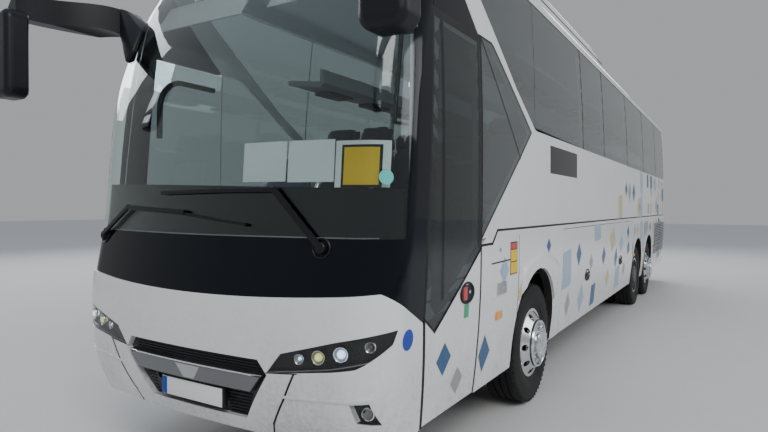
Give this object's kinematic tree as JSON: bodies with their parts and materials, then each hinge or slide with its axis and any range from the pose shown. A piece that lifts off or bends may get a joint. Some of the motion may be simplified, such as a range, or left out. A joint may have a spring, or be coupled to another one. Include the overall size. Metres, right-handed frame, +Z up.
{
  "type": "three-axle touring coach",
  "caption": "High-deck touring coach on three axles with a plug door ahead of the front wheels, luggage flaps, steered front wheels and arm-mounted mirrors.",
  "frame": {"origin": "centre of the coach's bounding box at ground level, where the tyres stand", "axes": "+Z up, +X to the coach's left (kerb side), -Y forward; the coach is symmetric in outline about the plane X = 0"},
  "size_m": [3.28, 13.403, 3.8698],
  "materials": {
    "body_paint": "glossy white paint",
    "black_gloss": "gloss black panel",
    "tinted_glass": "clear green-tinted glass",
    "dark_glass": "dark privacy glass",
    "lamp_lens": "clear lens over dark bezel",
    "tail_lens": "red lens",
    "grille_grey": "satin dark grey",
    "black_plastic": "black plastic",
    "steering_grip": "black grained rim",
    "floor_covering": "grey floor covering",
    "frame_steel": "black chassis paint",
    "engine_iron": "cast iron",
    "seat_fabric": "dark blue-grey woven cloth",
    "door_linkage": "satin aluminium",
    "tyre_rubber": "black tyre rubber",
    "wheel_metal": "polished aluminium"
  },
  "bodies": {
    "body": {"front_fascia": "body_paint", "side_walls": "body_paint", "roof": "body_paint", "roof_fairing": "body_paint", "rear_wall": "body_paint", "rear_bumper": "body_paint", "windscreen_mask": "black_gloss", "windscreen": "tinted_glass", "window_glass": "dark_glass", "front_lamps": "lamp_lens", "tail_lamps": "tail_lens", "grille_insert": "grille_grey", "mirrors": "black_plastic", "wipers": "black_plastic", "wheel_arches": "black_plastic", "dashboard": "black_plastic", "luggage_racks": "black_plastic", "floor_deck": "floor_covering", "chassis_frame": "frame_steel", "axle_beams": "frame_steel", "engine_block": "engine_iron", "seats": "seat_fabric"},
    "knuckle_left": {"knuckle_left": "frame_steel"},
    "knuckle_right": {"knuckle_right": "frame_steel"},
    "steering_wheel": {"steering_wheel": "steering_grip"},
    "door_arm": {"door_arm": "door_linkage"},
    "door": {"door_leaf": "body_paint", "door_glass": "dark_glass"},
    "engine_hatch": {"engine_hatch": "body_paint"},
    "wheel_front_left": {"tyre_front_left": "tyre_rubber", "rim_front_left": "wheel_metal"},
    "wheel_front_right": {"tyre_front_right": "tyre_rubber", "rim_front_right": "wheel_metal"},
    "wheel_drive_left": {"tyre_drive_left": "tyre_rubber", "rim_drive_left": "wheel_metal"},
    "wheel_drive_right": {"tyre_drive_right": "tyre_rubber", "rim_drive_right": "wheel_metal"},
    "wheel_tag_left": {"tyre_tag_left": "tyre_rubber", "rim_tag_left": "wheel_metal"},
    "wheel_tag_right": {"tyre_tag_right": "tyre_rubber", "rim_tag_right": "wheel_metal"},
    "flap_left_1": {"flap_left_1": "body_paint"},
    "flap_left_2": {"flap_left_2": "body_paint"},
    "flap_right_1": {"flap_right_1": "body_paint"},
    "flap_right_2": {"flap_right_2": "body_paint"}
  },
  "joints": [
    {"name": "wheel_front_left_spin", "type": "hinge", "parent": "knuckle_left", "child": "wheel_front_left", "pos_m": [1.09, -3.6265, 0.522], "axis": [1, 0, 0], "continuous": true},
    {"name": "wheel_front_right_spin", "type": "hinge", "parent": "knuckle_right", "child": "wheel_front_right", "pos_m": [-1.09, -3.6265, 0.522], "axis": [1, 0, 0], "continuous": true},
    {"name": "wheel_drive_left_spin", "type": "hinge", "parent": "body", "child": "wheel_drive_left", "pos_m": [1.09, 2.4335, 0.522], "axis": [1, 0, 0], "continuous": true},
    {"name": "wheel_drive_right_spin", "type": "hinge", "parent": "body", "child": "wheel_drive_right", "pos_m": [-1.09, 2.4335, 0.522], "axis": [1, 0, 0], "continuous": true},
    {"name": "wheel_tag_left_spin", "type": "hinge", "parent": "body", "child": "wheel_tag_left", "pos_m": [1.09, 3.9035, 0.522], "axis": [1, 0, 0], "continuous": true},
    {"name": "wheel_tag_right_spin", "type": "hinge", "parent": "body", "child": "wheel_tag_right", "pos_m": [-1.09, 3.9035, 0.522], "axis": [1, 0, 0], "continuous": true},
    {"name": "steer_left", "type": "hinge", "parent": "body", "child": "knuckle_left", "pos_m": [0.82, -3.6265, 0.522], "axis": [0, 0, 1], "range_deg": [-42, 42]},
    {"name": "steer_right", "type": "hinge", "parent": "body", "child": "knuckle_right", "pos_m": [-0.82, -3.6265, 0.522], "axis": [0, 0, 1], "range_deg": [-42, 42]},
    {"name": "steering_wheel_turn", "type": "hinge", "parent": "body", "child": "steering_wheel", "pos_m": [-0.62, -5.6415, 1.72], "axis": [0, 0.4226, 0.9063], "range_deg": [-672, 672]},
    {"name": "door_swing", "type": "hinge", "parent": "body", "child": "door_arm", "pos_m": [1.1, -5.6315, 1.5], "axis": [0, 0, -1], "range_deg": [0, 100]},
    {"name": "door_link", "type": "hinge", "parent": "door_arm", "child": "door", "pos_m": [1.145, -5.0915, 1.5], "axis": [0, 0, -1], "range_deg": [-100, 0]},
    {"name": "flap_left_1_lift", "type": "hinge", "parent": "body", "child": "flap_left_1", "pos_m": [1.277, -1.6365, 1.502], "axis": [0, -1, 0], "range_deg": [0, 85]},
    {"name": "flap_left_2_lift", "type": "hinge", "parent": "body", "child": "flap_left_2", "pos_m": [1.277, 0.6115, 1.502], "axis": [0, -1, 0], "range_deg": [0, 85]},
    {"name": "flap_right_1_lift", "type": "hinge", "parent": "body", "child": "flap_right_1", "pos_m": [-1.277, -1.6365, 1.502], "axis": [0, 1, 0], "range_deg": [0, 85]},
    {"name": "flap_right_2_lift", "type": "hinge", "parent": "body", "child": "flap_right_2", "pos_m": [-1.277, 0.6115, 1.502], "axis": [0, 1, 0], "range_deg": [0, 85]},
    {"name": "engine_hatch_lift", "type": "hinge", "parent": "body", "child": "engine_hatch", "pos_m": [0, 6.6635, 2.2505], "axis": [1, 0, 0], "range_deg": [0, 75]}
  ],
  "couplings": [
    {"joint": "steer_right", "follows": "steer_left", "ratio": 1},
    {"joint": "steering_wheel_turn", "follows": "steer_left", "ratio": 16},
    {"joint": "door_link", "follows": "door_swing", "ratio": -1}
  ]
}
